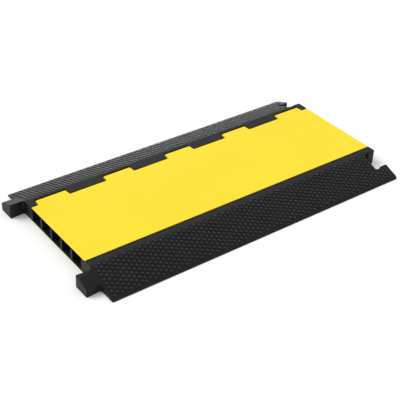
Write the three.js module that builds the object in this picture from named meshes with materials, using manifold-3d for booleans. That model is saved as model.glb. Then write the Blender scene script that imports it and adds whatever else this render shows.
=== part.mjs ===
// Five-channel cable protector ramp: a moulded base with a hinged lid over the channels.
// Millimetres. X runs along the channels, Y across the ramps, Z up. The origin is on the ground
// under the middle of the base; male connectors are at -X, female slots at +X, the hinge at +Y.
import * as THREE from "three";
import { mergeVertices } from "three/addons/utils/BufferGeometryUtils.js";
import Module from "manifold-3d";

const wasm = await Module();
wasm.setup();

// Overall size of the base without its connectors.
const LENGTH = 900;
const WIDTH = 500;
const HEIGHT = 40;

// Channels.
const CHANNELS = 5;
const CHANNEL_WIDTH = 40;
const DIVIDER = 7.6;
const FLOOR = 4;
const FLOOR_FILLET = 3;

// Ramps.
const TOE_HEIGHT = 2.5;
const TOE_ROUND = 1;
const SHOULDER_Y = 154;
const SHOULDER_ROUND = 9;
const EDGE_ROUND = 0.8;
const LEFT_CORNER_ROUND = 3;
const RIGHT_CORNER_ROUND = 8;

// Grip grooves that run along the underside of each ramp.
const GROOVES = 8;
const GROOVE_PITCH = 14;
const GROOVE_WIDTH = 4;
const GROOVE_DEPTH = 1.6;
const FIRST_GROOVE_Y = 132;

// Lid.
const LID_THICKNESS = 5;
const LID_FRONT_Y = -131;
const LID_EDGE_ROUND = 0.8;
const LID_UNDERCUT = 3.6;
const LID_END_GAP = 0.5;
const SEAT_GAP = 0.3;
const LID_SIDE_GAP = 4.5;
const SEAT_STOP_LENGTH = 8;

// Hinge along the rear edge of the lid.
const HINGE_Y = 132.5;
const BARREL_RADIUS = 10;
const HINGE_Z = HEIGHT - BARREL_RADIUS;
const POCKET_RADIUS = 12.5;
const TAB_CENTRES = [-287.5, -95.8, 95.8, 287.5];
const TAB_LENGTH = 104;
const TAB_FLARE = 1;
const END_CAP_LENGTH = 19;
const TAB_ROUND = 1;
const KNUCKLE_GAP = 3.5;
const KNUCKLE_LIP = 6.8;
const KNUCKLE_LIP_ROUND = 0.8;
const TAB_FRONT_Y = HINGE_Y - BARREL_RADIUS;
const LID_REAR_Y = TAB_FRONT_Y - KNUCKLE_GAP;
const WEB_Y = 100;

// Hinge rods and their end plugs.
const ROD_RADIUS = 4;
const ROD_BORE_RADIUS = 4.4;
const ROD_MIDDLE_GAP = 2;
const PLUG_HEAD_RADIUS = 6.4;
const PLUG_HEAD_THICKNESS = 3;
const PLUG_SEAT_RADIUS = 6.8;
const PLUG_SPIGOT = 10;
const PLUG_CHAMFER = 0.6;

// Connectors between units. Half-widths are across Y, at the end plane and at the far end.
const CONNECTOR_Y = 180;
const MALE_LENGTH = 39;
const MALE_ROOT_HALF = 21;
const MALE_HEAD_HALF = 24;
const MALE_ROUND = 2.5;
const MALE_ROOT_FILLET = 7;
const MALE_END_ROUND = 4;
const FRONT_MALE_TOP = 33;
const MALE_OVERLAP = 4;
const SLOT_DEPTH = 41;
const SLOT_MOUTH_HALF = 23.2;
const SLOT_HEAD_HALF = 26.6;
const SLOT_LOBE_LENGTH = 17;
const SLOT_ROUND = 7;
const SLOT_THROAT_ROUND = 3;
const SLOT_LEAD_ROUND = 4;

const SEGMENTS = 24;
const OVERRUN = 5;
const HALF_LENGTH = LENGTH / 2;
const HALF_WIDTH = WIDTH / 2;
const TROUGH_HALF = (CHANNELS * CHANNEL_WIDTH + (CHANNELS - 1) * DIVIDER) / 2;
const SEAT_Z = HEIGHT - LID_THICKNESS - SEAT_GAP;
const BAND_Y = -(LID_FRONT_Y - LID_SIDE_GAP);
const LID_HALF_LENGTH = HALF_LENGTH - LID_END_GAP;

// Closed solid from a geometry whose shared vertices are merged by position.
function solid(geometry) {
  const bare = geometry.clone();
  bare.deleteAttribute("normal");
  bare.deleteAttribute("uv");
  const merged = mergeVertices(bare, 1e-4);
  return new wasm.Manifold(
    new wasm.Mesh({
      numProp: 3,
      vertProperties: new Float32Array(merged.attributes.position.array),
      triVerts: new Uint32Array(merged.index.array),
    }),
  );
}

function named(name, body, material) {
  const mesh = body.getMesh();
  const geometry = new THREE.BufferGeometry();
  geometry.setAttribute("position", new THREE.BufferAttribute(new Float32Array(mesh.vertProperties), 3));
  geometry.setIndex(new THREE.BufferAttribute(new Uint32Array(mesh.triVerts), 1));
  geometry.computeVertexNormals();
  const node = new THREE.Mesh(geometry, material);
  node.name = name;
  return node;
}

// Polygon whose corners are rounded by the radius given as each point's third number.
function roundedShape(corners) {
  const shape = new THREE.Shape();
  const count = corners.length;
  corners.forEach(([x, y, radius], index) => {
    const corner = new THREE.Vector2(x, y);
    const before = new THREE.Vector2(...corners[(index + count - 1) % count]).sub(corner).normalize();
    const after = new THREE.Vector2(...corners[(index + 1) % count]).sub(corner).normalize();
    const reach = radius ? radius / Math.tan(before.angleTo(after) / 2) : 0;
    const start = before.multiplyScalar(reach).add(corner);
    const end = after.multiplyScalar(reach).add(corner);
    if (index === 0) {
      shape.moveTo(start.x, start.y);
    } else {
      shape.lineTo(start.x, start.y);
    }
    if (radius) {
      shape.quadraticCurveTo(x, y, end.x, end.y);
    }
  });
  shape.closePath();
  return shape;
}

// Extrudes a (Y, Z) outline along X.
function alongX(shape, from, to, steps = 4) {
  const geometry = new THREE.ExtrudeGeometry(shape, {
    depth: to - from,
    bevelEnabled: false,
    curveSegments: steps,
  });
  geometry.rotateX(Math.PI / 2);
  geometry.rotateZ(Math.PI / 2);
  geometry.translate(from, 0, 0);
  return solid(geometry);
}

// Extrudes an (X, Y) outline along Z.
function alongZ(shape, from, to, steps = 4) {
  const geometry = new THREE.ExtrudeGeometry(shape, {
    depth: to - from,
    bevelEnabled: false,
    curveSegments: steps,
  });
  geometry.translate(0, 0, from);
  return solid(geometry);
}

// Round bar along X on the hinge axis.
function hingeBar(radius, from, to) {
  const geometry = new THREE.CylinderGeometry(radius, radius, to - from, SEGMENTS);
  geometry.rotateZ(Math.PI / 2);
  geometry.translate((from + to) / 2, HINGE_Y, HINGE_Z);
  return solid(geometry);
}

// Corners of the grip grooves under one ramp, in the order of increasing Y.
function grooveCorners(side) {
  const corners = [];
  for (let groove = 0; groove < GROOVES; groove += 1) {
    const step = side > 0 ? groove : GROOVES - 1 - groove;
    const y = side * (FIRST_GROOVE_Y + step * GROOVE_PITCH);
    corners.push([y - GROOVE_WIDTH / 2, 0, 0], [y - GROOVE_WIDTH / 4, GROOVE_DEPTH, 0]);
    corners.push([y + GROOVE_WIDTH / 4, GROOVE_DEPTH, 0], [y + GROOVE_WIDTH / 2, 0, 0]);
  }
  return corners;
}

// Cross-section of the whole base, before the hinge and the connectors are cut.
function baseSection() {
  const corners = [
    [-HALF_WIDTH, 0, 0],
    ...grooveCorners(-1),
    ...grooveCorners(1),
    [HALF_WIDTH, 0, 0],
    [HALF_WIDTH, TOE_HEIGHT, TOE_ROUND],
    [SHOULDER_Y, HEIGHT, SHOULDER_ROUND],
    [TAB_FRONT_Y, HEIGHT, TAB_ROUND],
    [TAB_FRONT_Y, SEAT_Z, 0],
    [TROUGH_HALF, SEAT_Z, EDGE_ROUND],
  ];
  for (let channel = 0; channel < CHANNELS; channel += 1) {
    const right = TROUGH_HALF - channel * (CHANNEL_WIDTH + DIVIDER);
    const left = right - CHANNEL_WIDTH;
    corners.push([right, FLOOR, FLOOR_FILLET], [left, FLOOR, FLOOR_FILLET], [left, SEAT_Z, EDGE_ROUND]);
    if (channel < CHANNELS - 1) {
      corners.push([left - DIVIDER, SEAT_Z, EDGE_ROUND]);
    }
  }
  corners.push(
    [-BAND_Y, SEAT_Z, 0],
    [-BAND_Y, HEIGHT, 1.5 * EDGE_ROUND],
    [-SHOULDER_Y, HEIGHT, SHOULDER_ROUND],
    [-HALF_WIDTH, TOE_HEIGHT, TOE_ROUND],
  );
  return roundedShape(corners);
}

// Stretches along X between neighbouring tabs, where the lid has its knuckles.
function bays() {
  const edges = [-HALF_LENGTH + END_CAP_LENGTH];
  TAB_CENTRES.forEach((centre) => edges.push(centre - TAB_LENGTH / 2, centre + TAB_LENGTH / 2));
  edges.push(HALF_LENGTH - END_CAP_LENGTH);
  const list = [];
  for (let index = 0; index < edges.length; index += 2) {
    list.push([edges[index], edges[index + 1]]);
  }
  return list;
}

// Plan of a bay, narrower towards the rear by the flare of the tabs on both sides of it.
function bayPlan(from, to, inset, front, rear) {
  const slant = (y) => ((y - TAB_FRONT_Y) / (2 * BARREL_RADIUS)) * 2 * TAB_FLARE - TAB_FLARE;
  return roundedShape([
    [from + slant(front) + inset, front, 0],
    [to - slant(front) - inset, front, 0],
    [to - slant(rear) - inset, rear, 0],
    [from + slant(rear) + inset, rear, 0],
  ]);
}

// Round-bottomed hinge pocket, wide enough for the lid to lean back in it.
function pocketCutter(from, to) {
  const front = HINGE_Y - POCKET_RADIUS;
  const rear = HINGE_Y + POCKET_RADIUS;
  const section = new THREE.Shape();
  section.moveTo(front, HEIGHT + OVERRUN);
  section.lineTo(front, HINGE_Z);
  section.absarc(HINGE_Y, HINGE_Z, POCKET_RADIUS, Math.PI, 2 * Math.PI, false);
  section.lineTo(rear, HEIGHT + OVERRUN);
  section.closePath();
  const run = alongX(section, from - OVERRUN, to + OVERRUN, 12);
  return run.intersect(alongZ(bayPlan(from, to, 0, front - OVERRUN, rear + 3 * OVERRUN), 0, 2 * HEIGHT));
}

// Plan outline that is symmetric across the connector's own middle line, from the corners of its
// +Y half: [distance along X, half-width, corner radius].
function symmetricPlan(half, side) {
  const y = side * CONNECTOR_Y;
  const upper = half.map(([x, width, radius]) => [x, y + width, radius]);
  const lower = half.map(([x, width, radius]) => [x, y - width, radius]).reverse();
  return roundedShape([...lower, ...upper]);
}

// Block under the plane of one ramp, with a round along the edge that ends the male connectors.
function rampBlock(side) {
  const headX = -HALF_LENGTH - MALE_LENGTH;
  const section = roundedShape([
    [headX, -2 * HEIGHT, 0],
    [-HALF_LENGTH + OVERRUN, -2 * HEIGHT, 0],
    [-HALF_LENGTH + OVERRUN, 0, 0],
    [headX, 0, MALE_END_ROUND],
  ]);
  const geometry = new THREE.ExtrudeGeometry(section, {
    depth: WIDTH,
    bevelEnabled: false,
    curveSegments: 6,
  });
  geometry.translate(0, 0, -WIDTH / 2);
  const slope = Math.atan2(HEIGHT - TOE_HEIGHT, HALF_WIDTH - SHOULDER_Y);
  const along = new THREE.Vector3(1, 0, 0);
  const out = new THREE.Vector3(0, side * Math.sin(slope), Math.cos(slope));
  const place = new THREE.Matrix4().makeBasis(along, out, along.clone().cross(out));
  place.setPosition(0, side * HALF_WIDTH, TOE_HEIGHT);
  geometry.applyMatrix4(place);
  return solid(geometry);
}

// Male connector: a dovetail with filleted root corners, its top following the ramp. The front one
// is cut off flat below the lid's level.
function maleConnector(side) {
  const rootX = -HALF_LENGTH;
  const headX = rootX - MALE_LENGTH;
  const flare = MALE_ROOT_HALF + MALE_ROOT_FILLET;
  const plan = symmetricPlan(
    [
      [headX, MALE_HEAD_HALF, MALE_ROUND],
      [rootX, MALE_ROOT_HALF, MALE_ROOT_FILLET - 1],
      [rootX, flare, 0],
      [rootX + MALE_OVERLAP, flare, 0],
    ],
    side,
  );
  const top = side < 0 ? FRONT_MALE_TOP : HEIGHT;
  return alongZ(plan, 0, top).intersect(rampBlock(side));
}

// Plan of the base with its four outer corners rounded.
function basePlan() {
  return roundedShape([
    [-HALF_LENGTH, -HALF_WIDTH, LEFT_CORNER_ROUND],
    [HALF_LENGTH, -HALF_WIDTH, RIGHT_CORNER_ROUND],
    [HALF_LENGTH, HALF_WIDTH, RIGHT_CORNER_ROUND],
    [-HALF_LENGTH, HALF_WIDTH, LEFT_CORNER_ROUND],
  ]);
}

// Female slot: a straight mouth with rounded lead-in corners that opens into a wider rounded lobe,
// cut right through the ramp.
function femaleSlot(side) {
  const floorX = HALF_LENGTH - SLOT_DEPTH;
  const lobeX = floorX + SLOT_LOBE_LENGTH;
  const lobeShoulder = SLOT_HEAD_HALF - SLOT_MOUTH_HALF;
  const leadHalf = SLOT_MOUTH_HALF + 2 * SLOT_LEAD_ROUND;
  const plan = symmetricPlan(
    [
      [HALF_LENGTH + OVERRUN, leadHalf, 0],
      [HALF_LENGTH, leadHalf, 0],
      [HALF_LENGTH, SLOT_MOUTH_HALF, SLOT_LEAD_ROUND],
      [lobeX, SLOT_MOUTH_HALF, SLOT_THROAT_ROUND],
      [lobeX - lobeShoulder, SLOT_HEAD_HALF, SLOT_THROAT_ROUND],
      [floorX, SLOT_HEAD_HALF, SLOT_ROUND],
    ],
    side,
  );
  return alongZ(plan, -OVERRUN, HEIGHT + OVERRUN);
}

// Stop that closes one end of the gap in front of the lid.
function seatStop(end) {
  const front = LID_FRONT_Y - SEAT_GAP;
  const outer = end * HALF_LENGTH;
  const inner = end * (HALF_LENGTH - SEAT_STOP_LENGTH);
  const section = roundedShape([
    [-BAND_Y - OVERRUN, SEAT_Z - 1, 0],
    [front, SEAT_Z - 1, 0],
    [front, HEIGHT, EDGE_ROUND],
    [-BAND_Y - OVERRUN, HEIGHT, 0],
  ]);
  return alongX(section, Math.min(outer, inner), Math.max(outer, inner), 5);
}

function baseMoulding() {
  let body = alongX(baseSection(), -HALF_LENGTH, HALF_LENGTH, 5);
  body = body.intersect(alongZ(basePlan(), -OVERRUN, HEIGHT + OVERRUN, 6));
  for (const [from, to] of bays()) {
    body = body.subtract(pocketCutter(from, to));
  }
  for (const side of [-1, 1]) {
    body = body.add(seatStop(side));
    body = body.add(maleConnector(side)).subtract(femaleSlot(side));
  }
  body = body.subtract(hingeBar(ROD_BORE_RADIUS, -HALF_LENGTH - OVERRUN, HALF_LENGTH + OVERRUN));
  const seatX = HALF_LENGTH - PLUG_HEAD_THICKNESS - 2 * SEAT_GAP;
  body = body.subtract(hingeBar(PLUG_SEAT_RADIUS, seatX, HALF_LENGTH + OVERRUN));
  return body.subtract(hingeBar(PLUG_SEAT_RADIUS, -HALF_LENGTH - OVERRUN, -seatX));
}

// Flat lid with rounded top edges at the front and both ends, and an undercut lower edge there.
function lidPlate() {
  const bottom = HEIGHT - LID_THICKNESS;
  const across = roundedShape([
    [LID_FRONT_Y + LID_UNDERCUT, bottom, 0],
    [LID_REAR_Y, bottom, 0],
    [LID_REAR_Y, HEIGHT, 0],
    [LID_FRONT_Y, HEIGHT, LID_EDGE_ROUND],
    [LID_FRONT_Y, bottom + LID_UNDERCUT, 0],
  ]);
  const outline = new THREE.Shape();
  outline.moveTo(-LID_HALF_LENGTH + LID_UNDERCUT, bottom);
  outline.lineTo(LID_HALF_LENGTH - LID_UNDERCUT, bottom);
  outline.lineTo(LID_HALF_LENGTH, bottom + LID_UNDERCUT);
  outline.lineTo(LID_HALF_LENGTH, HEIGHT - LID_EDGE_ROUND);
  outline.quadraticCurveTo(LID_HALF_LENGTH, HEIGHT, LID_HALF_LENGTH - LID_EDGE_ROUND, HEIGHT);
  outline.lineTo(-LID_HALF_LENGTH + LID_EDGE_ROUND, HEIGHT);
  outline.quadraticCurveTo(-LID_HALF_LENGTH, HEIGHT, -LID_HALF_LENGTH, HEIGHT - LID_EDGE_ROUND);
  outline.lineTo(-LID_HALF_LENGTH, bottom + LID_UNDERCUT);
  outline.closePath();
  const geometry = new THREE.ExtrudeGeometry(outline, {
    depth: WIDTH,
    bevelEnabled: false,
    curveSegments: 4,
  });
  geometry.rotateX(Math.PI / 2);
  geometry.translate(0, HALF_WIDTH, 0);
  return alongX(across, -HALF_LENGTH, HALF_LENGTH, 4).intersect(solid(geometry));
}

// Hinge knuckle that fills a bay: a barrel under a flat top that ends in a short lip at the rear.
function lidKnuckle(from, to) {
  const bottom = HEIGHT - LID_THICKNESS;
  const rearY = HINGE_Y + KNUCKLE_LIP;
  const section = new THREE.Shape();
  section.moveTo(WEB_Y, bottom);
  section.lineTo(HINGE_Y - BARREL_RADIUS, bottom);
  section.lineTo(HINGE_Y - BARREL_RADIUS, HINGE_Z);
  section.absarc(HINGE_Y, HINGE_Z, BARREL_RADIUS, Math.PI, 2.15 * Math.PI, false);
  section.lineTo(rearY, HEIGHT - KNUCKLE_LIP_ROUND);
  section.quadraticCurveTo(rearY, HEIGHT, rearY - KNUCKLE_LIP_ROUND, HEIGHT);
  section.lineTo(WEB_Y, HEIGHT);
  section.closePath();
  const rear = HINGE_Y + BARREL_RADIUS + OVERRUN;
  const plan = bayPlan(from, to, KNUCKLE_GAP, WEB_Y - OVERRUN, rear);
  return alongX(section, from - OVERRUN, to + OVERRUN, 18).intersect(alongZ(plan, 0, 2 * HEIGHT));
}

function lidMoulding() {
  let body = lidPlate();
  for (const [from, to] of bays()) {
    body = body.add(lidKnuckle(from, to));
  }
  return body.subtract(hingeBar(ROD_BORE_RADIUS, -HALF_LENGTH, HALF_LENGTH));
}

// Half-length hinge rod on one side of the middle, with chamfered ends.
function hingeRod(side) {
  const inner = ROD_MIDDLE_GAP;
  const outer = HALF_LENGTH - PLUG_SPIGOT - PLUG_HEAD_THICKNESS - 1;
  const chamfer = PLUG_CHAMFER;
  const profile = [
    [0, inner],
    [ROD_RADIUS - chamfer, inner],
    [ROD_RADIUS, inner + chamfer],
    [ROD_RADIUS, outer - chamfer],
    [ROD_RADIUS - chamfer, outer],
    [0, outer],
  ];
  return turned(profile, side);
}

// Push-in end plug: a spigot in the bore and a round head in its seat.
function rodPlug(side) {
  const face = HALF_LENGTH - SEAT_GAP;
  const shoulder = face - PLUG_HEAD_THICKNESS;
  const tip = shoulder - PLUG_SPIGOT + 1;
  const profile = [
    [0, tip],
    [ROD_RADIUS - PLUG_CHAMFER, tip],
    [ROD_RADIUS, tip + PLUG_CHAMFER],
    [ROD_RADIUS, shoulder],
    [PLUG_HEAD_RADIUS, shoulder],
    [PLUG_HEAD_RADIUS, face - PLUG_CHAMFER],
    [PLUG_HEAD_RADIUS - PLUG_CHAMFER, face],
    [0, face],
  ];
  return turned(profile, side);
}

// Turned piece on the hinge axis, from a profile of radius and distance from the middle.
function turned(profile, side) {
  const outline = profile.map(([radius, x]) => new THREE.Vector2(radius, x));
  const geometry = new THREE.LatheGeometry(outline, SEGMENTS);
  geometry.rotateZ((-side * Math.PI) / 2);
  geometry.translate(0, HINGE_Y, HINGE_Z);
  return solid(geometry);
}

function finish(color, roughness, metalness) {
  return new THREE.MeshStandardMaterial({ color, roughness, metalness });
}

const ramp = new THREE.Group();
ramp.add(named("base_moulding", baseMoulding(), finish(0x2c2c2d, 0.75, 0)));
ramp.add(named("lid", lidMoulding(), finish(0xfde641, 0.45, 0)));
for (const [name, side] of [["left", -1], ["right", 1]]) {
  ramp.add(named(`hinge_rod_${name}`, hingeRod(side), finish(0xa9acae, 0.35, 0.9)));
  ramp.add(named(`rod_plug_${name}`, rodPlug(side), finish(0x1d1d1e, 0.6, 0)));
}

export default ramp;
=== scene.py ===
import math

import bmesh
import bpy
from mathutils import Matrix, Vector


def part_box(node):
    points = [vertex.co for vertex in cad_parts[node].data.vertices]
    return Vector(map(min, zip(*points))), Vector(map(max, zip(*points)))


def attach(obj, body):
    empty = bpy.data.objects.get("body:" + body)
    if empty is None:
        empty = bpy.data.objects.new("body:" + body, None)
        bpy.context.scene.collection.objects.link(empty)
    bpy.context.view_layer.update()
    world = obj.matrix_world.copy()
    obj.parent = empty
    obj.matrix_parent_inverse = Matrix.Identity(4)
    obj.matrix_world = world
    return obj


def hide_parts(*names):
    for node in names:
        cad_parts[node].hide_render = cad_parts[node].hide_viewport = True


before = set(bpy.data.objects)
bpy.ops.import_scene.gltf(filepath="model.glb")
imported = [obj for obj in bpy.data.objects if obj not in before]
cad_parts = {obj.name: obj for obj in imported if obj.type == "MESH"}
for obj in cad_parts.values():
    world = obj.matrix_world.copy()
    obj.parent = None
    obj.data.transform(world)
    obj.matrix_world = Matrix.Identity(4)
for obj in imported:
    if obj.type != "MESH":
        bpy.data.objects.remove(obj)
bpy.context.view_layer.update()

# ------------------------------------------------------------------ sizes, in metres
base_low, base_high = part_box("base_moulding")
HALF_LENGTH = base_high.x
HALF_WIDTH = base_high.y
TOP = base_high.z
TOE_HEIGHT = 0.0025
SHOULDER_Y = 0.154
SLOPE = math.atan2(TOP - TOE_HEIGHT, HALF_WIDTH - SHOULDER_Y)
SLOPE_LENGTH = math.hypot(TOP - TOE_HEIGHT, HALF_WIDTH - SHOULDER_Y)

# Widths of the roundings along sharp edges. An edge counts as sharp above SHARP_ANGLE. Edges shorter
# than SHORT_EDGE stay as they are, and so do the edges of a face under SMALL_FACE square metres when
# all of them are sharp.
BASE_ROUNDING = 0.0004
LID_ROUNDING = 0.00025
ROD_ROUNDING = 0.0002
PLUG_ROUNDING = 0.0003
ROUNDING_SEGMENTS = 2
SHARP_ANGLE = math.radians(32)
SHORT_EDGE = 0.0002
SMALL_FACE = 2.5e-5

# Vertices this close are one, and faces this close to one plane are joined.
WELD_DISTANCE = 5e-5
FLAT_ANGLE = math.radians(0.6)

# Connector slots at +X, where no stud stands.
CONNECTOR_Y = 0.180
SLOT_DEPTH = 0.041
SLOT_HALF = 0.0266
SLOT_MARGIN = 0.0055

# Stud pattern on the ramps.
STUD_COLUMN_PITCH = 0.01106
STUD_ROW_PITCH = 0.01176
STUD_FIRST_COLUMN = 0.00384
STUD_RADIUS = 0.0035
STUD_HEIGHT = 0.0023
STUD_SIDES = 12
STUD_FOOT_FLARE = 1.06
STUD_FOOT_DEPTH = 0.0004
# Shares of the radius and of the height, from the foot to the crown.
STUD_PROFILE = ((1.00, 0.15), (0.94, 0.76), (0.82, 0.94), (0.52, 1.0))
STUD_CROWN_RING = 2
STUD_TOE_MARGIN = 0.009
STUD_TOP_MARGIN = 0.0025
STUD_TOP_CLEARANCE = 0.0002
STUD_END_MARGIN = 0.008

# Floor under the object.
FLOOR_REACH = 12.0
FLOOR_DROP = 0.0002

# Camera: angles in degrees, lens and sensor in millimetres.
CAMERA_AZIMUTH = -37.957
CAMERA_ELEVATION = 34.835
CAMERA_ROLL = 2.491
CAMERA_DISTANCE = 2.4619
CAMERA_TARGET = (-0.0521, -0.0372, 0)
CAMERA_LENS = 86.44
CAMERA_SENSOR = 36


# ------------------------------------------------------------------ materials
BLACK = 0.0
WHITE = 1.0

# Places of the Mix node's colour sockets.
MIX_FACTOR = 0
MIX_FIRST = 6
MIX_SECOND = 7
MIX_RESULT = 2

# Surface finish.
DUST_ROUGHNESS = 0.3
LID_ROUGHNESS = 0.5
LID_SPECULAR = 0.25
ROD_ROUGHNESS = 0.35
FLOOR_ROUGHNESS = 0.9
FLOOR_SPECULAR = 0.1

# Noise scales, per metre.
RUBBER_WAVES = 14
RUBBER_MOTTLE = 38
RUBBER_PATCHES = 120
RUBBER_SPECKS = 900
RUBBER_GRAIN = 1500
LID_WAVES = 5
LID_SHADES = 7
LID_GRAIN = 1300
ROD_TARNISH = 60

# Noise scales along X, Y and Z, per metre.
LID_SCUFFS = (260, 14, 14)
ROD_LINES = (6, 2200, 2200)

# Depths of the surface relief, in metres.
WAVE_DEPTH = 0.0015
SCUFF_DEPTH = 0.0003
GRAIN_DEPTH = 0.0002
LINE_DEPTH = 0.0001

# Paler edges of the rubber: how far they reach, and the cosines between the rounded and the true
# normal at which they are full and gone.
WEAR_RADIUS = 0.0012
WEAR_SAMPLES = 4
WEAR_FULL = 0.80
WEAR_NONE = 0.98

# Brightness of worn edges and of specks over the light rubber colour.
WEAR_BRIGHTENING = 1.9
SPECK_BRIGHTENING = 2.1

YELLOW_DARK = (0.85, 0.64, 0.013)
YELLOW_LIGHT = (0.88, 0.665, 0.017)
YELLOW_SCUFFED = (0.76, 0.57, 0.05)
STEEL_DARK = (0.36, 0.36, 0.37)
STEEL_LIGHT = (0.58, 0.59, 0.60)
FLOOR_WHITE = (0.93, 0.93, 0.93, 1)


def new_material(name, roughness, metallic=0.0, specular=0.5):
    material = bpy.data.materials.new(name)
    material.use_nodes = True
    tree = material.node_tree
    shader = tree.nodes["Principled BSDF"]
    shader.inputs["Roughness"].default_value = roughness
    shader.inputs["Metallic"].default_value = metallic
    shader.inputs["Specular IOR Level"].default_value = specular
    return material, tree, shader


def node(tree, kind, **inputs):
    made = tree.nodes.new(kind)
    for name, value in inputs.items():
        made.inputs[name.replace("_", " ")].default_value = value
    return made


def position(tree, stretch=(1, 1, 1)):
    """Object coordinates, stretched along each axis."""
    coordinates = tree.nodes.new("ShaderNodeTexCoord")
    mapping = tree.nodes.new("ShaderNodeMapping")
    mapping.inputs["Scale"].default_value = stretch
    tree.links.new(coordinates.outputs["Object"], mapping.inputs["Vector"])
    return mapping.outputs["Vector"]


def noise(tree, where, scale, detail=3.0, roughness=0.5):
    made = node(tree, "ShaderNodeTexNoise", Scale=scale, Detail=detail, Roughness=roughness)
    tree.links.new(where, made.inputs["Vector"])
    return made.outputs["Fac"]


def ramp(tree, value, stops):
    """Colour ramp from (position, colour) stops; a number stands for a grey."""
    made = tree.nodes.new("ShaderNodeValToRGB")
    elements = made.color_ramp.elements
    while len(elements) < len(stops):
        elements.new(0.5)
    for element, (place, colour) in zip(elements, stops):
        element.position = place
        element.color = (*colour, 1) if isinstance(colour, tuple) else (colour, colour, colour, 1)
    tree.links.new(value, made.inputs["Fac"])
    return made.outputs["Color"]


def mix(tree, factor, first, second):
    """Colour between the first and the second; each value is a socket, a colour or a number."""
    made = tree.nodes.new("ShaderNodeMix")
    made.data_type = "RGBA"
    sockets = (made.inputs[MIX_FACTOR], made.inputs[MIX_FIRST], made.inputs[MIX_SECOND])
    for socket, value in zip(sockets, (factor, first, second)):
        if isinstance(value, bpy.types.NodeSocket):
            tree.links.new(value, socket)
        elif isinstance(value, tuple):
            socket.default_value = (*value, 1)
        else:
            socket.default_value = value
    return made.outputs[MIX_RESULT]


def bump(tree, shader, layers):
    """Chain of bumps: (height output, strength, distance in metres)."""
    previous = None
    for height, strength, distance in layers:
        made = node(tree, "ShaderNodeBump", Strength=strength, Distance=distance)
        tree.links.new(height, made.inputs["Height"])
        if previous is not None:
            tree.links.new(previous, made.inputs["Normal"])
        previous = made.outputs["Normal"]
    tree.links.new(previous, shader.inputs["Normal"])


def edge_wear(tree):
    """White along the edges, from the angle between the rounded and the true normal."""
    bevel = node(tree, "ShaderNodeBevel", Radius=WEAR_RADIUS)
    bevel.samples = WEAR_SAMPLES
    geometry = tree.nodes.new("ShaderNodeNewGeometry")
    dot = tree.nodes.new("ShaderNodeVectorMath")
    dot.operation = "DOT_PRODUCT"
    tree.links.new(bevel.outputs["Normal"], dot.inputs[0])
    tree.links.new(geometry.outputs["Normal"], dot.inputs[1])
    return ramp(tree, dot.outputs["Value"], [(WEAR_FULL, WHITE), (WEAR_NONE, BLACK)])


def rubber(name, dark, light, grain_strength, finish, specular, dust=0.0):
    """Moulded black rubber: mottled, finely grained, a little paler along its edges, dusty or clean."""
    material, tree, shader = new_material(name, finish[0], specular=specular)
    shader.inputs["Sheen Weight"].default_value = dust
    shader.inputs["Sheen Roughness"].default_value = DUST_ROUGHNESS
    where = position(tree)
    mottle = noise(tree, where, RUBBER_MOTTLE, detail=5, roughness=0.6)
    specks = noise(tree, where, RUBBER_SPECKS, detail=2)
    colour = ramp(tree, mottle, [(0.3, dark), (0.72, light)])
    speck_mask = ramp(tree, specks, [(0.62, BLACK), (0.78, 0.35)])
    colour = mix(tree, speck_mask, colour, tuple(SPECK_BRIGHTENING * c for c in light))
    colour = mix(tree, edge_wear(tree), colour, tuple(WEAR_BRIGHTENING * c for c in light))
    tree.links.new(colour, shader.inputs["Base Color"])
    patches = noise(tree, where, RUBBER_PATCHES, detail=4)
    roughness = ramp(tree, patches, [(0.3, finish[0]), (0.7, finish[1])])
    tree.links.new(roughness, shader.inputs["Roughness"])
    bump(
        tree,
        shader,
        [
            (noise(tree, where, RUBBER_WAVES, detail=2), 0.25, WAVE_DEPTH),
            (noise(tree, where, RUBBER_GRAIN, detail=2), grain_strength, GRAIN_DEPTH),
        ],
    )
    return material


def yellow_plastic(name):
    """Satin yellow plastic: fine moulded grain, faint scuffs across the channels, slight shade changes."""
    material, tree, shader = new_material(name, LID_ROUGHNESS, specular=LID_SPECULAR)
    where = position(tree)
    shades = noise(tree, where, LID_SHADES, detail=4)
    shade = ramp(tree, shades, [(0.3, YELLOW_DARK), (0.7, YELLOW_LIGHT)])
    scuffs = noise(tree, position(tree, LID_SCUFFS), 1.0, detail=5, roughness=0.7)
    scuff_mask = ramp(tree, scuffs, [(0.60, BLACK), (0.80, 0.16)])
    colour = mix(tree, scuff_mask, shade, YELLOW_SCUFFED)
    tree.links.new(colour, shader.inputs["Base Color"])
    finish = ramp(tree, scuffs, [(0.35, 0.44), (0.75, 0.58)])
    tree.links.new(finish, shader.inputs["Roughness"])
    bump(
        tree,
        shader,
        [
            (noise(tree, where, LID_WAVES, detail=1), 0.12, WAVE_DEPTH),
            (noise(tree, where, LID_GRAIN, detail=2), 0.12, GRAIN_DEPTH),
            (scuffs, 0.06, SCUFF_DEPTH),
        ],
    )
    return material


def drawn_steel(name):
    """Drawn steel rod: fine lines along its length and a light uneven tarnish."""
    material, tree, shader = new_material(name, ROD_ROUGHNESS, metallic=1.0)
    lines = noise(tree, position(tree, ROD_LINES), 1.0, detail=3)
    tarnish = noise(tree, position(tree), ROD_TARNISH, detail=4)
    colour = ramp(tree, tarnish, [(0.35, STEEL_DARK), (0.7, STEEL_LIGHT)])
    tree.links.new(colour, shader.inputs["Base Color"])
    tree.links.new(ramp(tree, lines, [(0.3, 0.26), (0.7, 0.46)]), shader.inputs["Roughness"])
    bump(tree, shader, [(lines, 0.15, LINE_DEPTH)])
    return material


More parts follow.
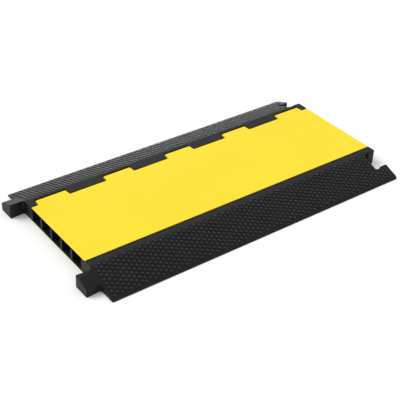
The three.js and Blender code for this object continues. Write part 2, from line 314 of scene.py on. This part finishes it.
BASE_RUBBER = rubber(
    "base_rubber",
    dark=(0.003, 0.003, 0.0032),
    light=(0.006, 0.006, 0.0063),
    grain_strength=0.25,
    finish=(0.46, 0.58),
    specular=0.24,
)
# Rubber of the stud crowns: paler than the base rubber, partly for wear and partly as a painted highlight
# that stands in for the shade between the studs.
WORN_AND_HIGHLIT_RUBBER = rubber(
    "worn_and_highlit_rubber",
    dark=(0.007, 0.007, 0.0072),
    light=(0.011, 0.011, 0.0112),
    grain_strength=0.2,
    finish=(0.36, 0.46),
    specular=0.32,
    dust=1.0,
)
PLUG_RUBBER = rubber(
    "plug_rubber",
    dark=(0.012, 0.012, 0.012),
    light=(0.018, 0.018, 0.018),
    grain_strength=0.2,
    finish=(0.50, 0.64),
    specular=0.4,
)
LID_PLASTIC = yellow_plastic("lid_plastic")
ROD_STEEL = drawn_steel("rod_steel")


# ------------------------------------------------------------------ mesh helpers
def mesh_object(name, mesh, material, body):
    """A piece of one material that rides on a body of the frame."""
    piece = bpy.data.objects.new(name, mesh)
    bpy.context.scene.collection.objects.link(piece)
    mesh.materials.append(material)
    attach(piece, body)
    return piece


def mark_sharp_edges(made):
    """Gives full bevel weight to the sharp edges that have room for a rounding."""
    weight = made.edges.layers.float.new("bevel_weight_edge")
    sharp = {edge for edge in made.edges if edge.calc_face_angle(0) > SHARP_ANGLE}
    for edge in sharp:
        small = [face for face in edge.link_faces if face.calc_area() < SMALL_FACE]
        cramped = any(sharp.issuperset(face.edges) for face in small)
        if edge.calc_length() > SHORT_EDGE and not cramped:
            edge[weight] = 1


def soften(piece, width):
    """Rounds the marked edges and shades flats flat and rounds smooth."""
    for polygon in piece.data.polygons:
        polygon.use_smooth = True
    bevel = piece.modifiers.new("round_edges", "BEVEL")
    bevel.width = width
    bevel.segments = ROUNDING_SEGMENTS
    bevel.limit_method = "WEIGHT"
    bevel.use_clamp_overlap = False
    weigh = piece.modifiers.new("flat_faces", "WEIGHTED_NORMAL")
    weigh.keep_sharp = True


def refined(name, node_name, material, body, width):
    """The CAD node's solid with its coplanar triangles joined and its sharp edges rounded."""
    made = bmesh.new()
    made.from_mesh(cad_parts[node_name].data)
    bmesh.ops.remove_doubles(made, verts=made.verts, dist=WELD_DISTANCE)
    bmesh.ops.dissolve_limit(
        made,
        angle_limit=FLAT_ANGLE,
        verts=made.verts,
        edges=made.edges,
        delimit={"NORMAL"},
    )
    made.normal_update()
    mark_sharp_edges(made)
    mesh = bpy.data.meshes.new(name)
    made.to_mesh(mesh)
    made.free()
    piece = mesh_object(name, mesh, material, body)
    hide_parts(node_name)
    soften(piece, width)


# ------------------------------------------------------------------ studs
def stud_places():
    """Staggered places over one ramp: distance along X and distance up the slope from the toe."""
    places = []
    columns = math.ceil(HALF_LENGTH / STUD_COLUMN_PITCH) + 1
    for column in range(-columns, columns + 1):
        x = STUD_FIRST_COLUMN + column * STUD_COLUMN_PITCH
        if abs(x) > HALF_LENGTH - STUD_END_MARGIN:
            continue
        row_start = (column % 2) * STUD_ROW_PITCH / 2
        for row in range(int(SLOPE_LENGTH / STUD_ROW_PITCH) + 2):
            up = row_start + row * STUD_ROW_PITCH
            if not STUD_TOE_MARGIN < up < SLOPE_LENGTH - STUD_TOP_MARGIN:
                continue
            y = HALF_WIDTH - up * math.cos(SLOPE)
            over_slot = x > HALF_LENGTH - SLOT_DEPTH - SLOT_MARGIN
            if over_slot and abs(y - CONNECTOR_Y) < SLOT_HALF + SLOT_MARGIN:
                continue
            places.append((x, up))
    return places


def add_stud(made, to_ramp, x, up):
    """A low round stud: a foot sunk in the ramp and a crowned top, cut off flat at the lid's level."""
    rings = [(STUD_FOOT_FLARE, -STUD_FOOT_DEPTH)]
    rings += [(share, height_share * STUD_HEIGHT) for share, height_share in STUD_PROFILE]
    loops = []
    for share, level in rings:
        loop = []
        for side in range(STUD_SIDES):
            angle = 2 * math.pi * side / STUD_SIDES
            across = STUD_RADIUS * share * math.cos(angle)
            along = STUD_RADIUS * share * math.sin(angle)
            point = to_ramp @ Vector((x + across, up + along, level))
            point.z = min(point.z, TOP - STUD_TOP_CLEARANCE)
            loop.append(made.verts.new(point))
        loops.append(loop)
    for ring, (lower, upper) in enumerate(zip(loops, loops[1:])):
        for side in range(STUD_SIDES):
            after = (side + 1) % STUD_SIDES
            face = made.faces.new((lower[side], lower[after], upper[after], upper[side]))
            # The crown rings and the top take the paler crown rubber: wear plus painted highlight.
            face.material_index = int(ring >= STUD_CROWN_RING)
    made.faces.new(loops[-1]).material_index = 1
    made.faces.new(tuple(reversed(loops[0])))


def stud_field(name, side):
    """All the studs of the ramp at -Y (side -1) or +Y (side 1), as one piece."""
    slope_up = Vector((0, -side * math.cos(SLOPE), math.sin(SLOPE)))
    out = Vector((0, side * math.sin(SLOPE), math.cos(SLOPE)))
    along = Vector((1, 0, 0))
    origin = Vector((0, side * HALF_WIDTH, TOE_HEIGHT))
    to_ramp = Matrix((along, slope_up, out)).transposed().to_4x4()
    to_ramp.translation = origin
    made = bmesh.new()
    for x, up in stud_places():
        add_stud(made, to_ramp, x, up)
    bmesh.ops.recalc_face_normals(made, faces=made.faces)
    mesh = bpy.data.meshes.new(name)
    made.to_mesh(mesh)
    made.free()
    for polygon in mesh.polygons:
        polygon.use_smooth = True
    mesh_object(name, mesh, BASE_RUBBER, "base")
    # Second material: the paler crown rubber, partly wear and partly painted highlight.
    mesh.materials.append(WORN_AND_HIGHLIT_RUBBER)


refined("base_body", "base_moulding", BASE_RUBBER, "base", BASE_ROUNDING)
refined("lid_cover", "lid", LID_PLASTIC, "lid", LID_ROUNDING)
for end in ("left", "right"):
    refined(f"rod_{end}", f"hinge_rod_{end}", ROD_STEEL, "base", ROD_ROUNDING)
    refined(f"plug_{end}", f"rod_plug_{end}", PLUG_RUBBER, "base", PLUG_ROUNDING)
stud_field("front_ramp_studs", -1)
stud_field("rear_ramp_studs", 1)


# ------------------------------------------------------------------ floor, light and camera
def studio_floor():
    """Plain white floor, a hair below the object's underside."""
    mesh = bpy.data.meshes.new("studio_floor")
    signs = ((-1, -1), (1, -1), (1, 1), (-1, 1))
    corners = [(x * FLOOR_REACH, y * FLOOR_REACH, 0) for x, y in signs]
    mesh.from_pydata(corners, [], [(0, 1, 2, 3)])
    floor = bpy.data.objects.new("studio_floor", mesh)
    bpy.context.scene.collection.objects.link(floor)
    material, _, shader = new_material("floor_white", FLOOR_ROUGHNESS, specular=FLOOR_SPECULAR)
    shader.inputs["Base Color"].default_value = FLOOR_WHITE
    mesh.materials.append(material)
    floor.location.z = base_low.z - FLOOR_DROP


def soft_light(name, place, spread, strength):
    """Even light from the direction of a place, softened over an angle in degrees."""
    data = bpy.data.lights.new(name, "SUN")
    data.angle = math.radians(spread)
    data.energy = strength
    lamp = bpy.data.objects.new(name, data)
    bpy.context.scene.collection.objects.link(lamp)
    lamp.location = place
    lamp.rotation_euler = (-Vector(place)).to_track_quat("-Z", "Y").to_euler()


def sky(strength):
    """Even white light from all round."""
    world = bpy.data.worlds.new("studio_white")
    bpy.context.scene.world = world
    world.use_nodes = True
    background = world.node_tree.nodes["Background"]
    background.inputs["Color"].default_value = (1, 1, 1, 1)
    background.inputs["Strength"].default_value = strength


def make_camera():
    """Camera turned around its target by its azimuth and elevation, then rolled."""
    azimuth = math.radians(CAMERA_AZIMUTH)
    elevation = math.radians(CAMERA_ELEVATION)
    roll = math.radians(CAMERA_ROLL)
    back = Vector(
        (
            math.sin(azimuth) * math.cos(elevation),
            -math.cos(azimuth) * math.cos(elevation),
            math.sin(elevation),
        )
    )
    data = bpy.data.cameras.new("camera")
    data.sensor_width = CAMERA_SENSOR
    data.lens = CAMERA_LENS
    camera = bpy.data.objects.new("camera", data)
    bpy.context.scene.collection.objects.link(camera)
    camera.location = Vector(CAMERA_TARGET) + back * CAMERA_DISTANCE
    aim = (-back).to_track_quat("-Z", "Y")
    camera.rotation_mode = "QUATERNION"
    camera.rotation_quaternion = aim @ Matrix.Rotation(roll, 3, "Z").to_quaternion()
    bpy.context.scene.camera = camera


studio_floor()
sky(strength=0.75)
soft_light("key", place=(-1.5, 1.5, 2.1), spread=40, strength=1.9)
soft_light("rim", place=(0.5, 0.86, 0.05), spread=12, strength=0.45)
make_camera()
bpy.context.scene.view_settings.view_transform = "Standard"
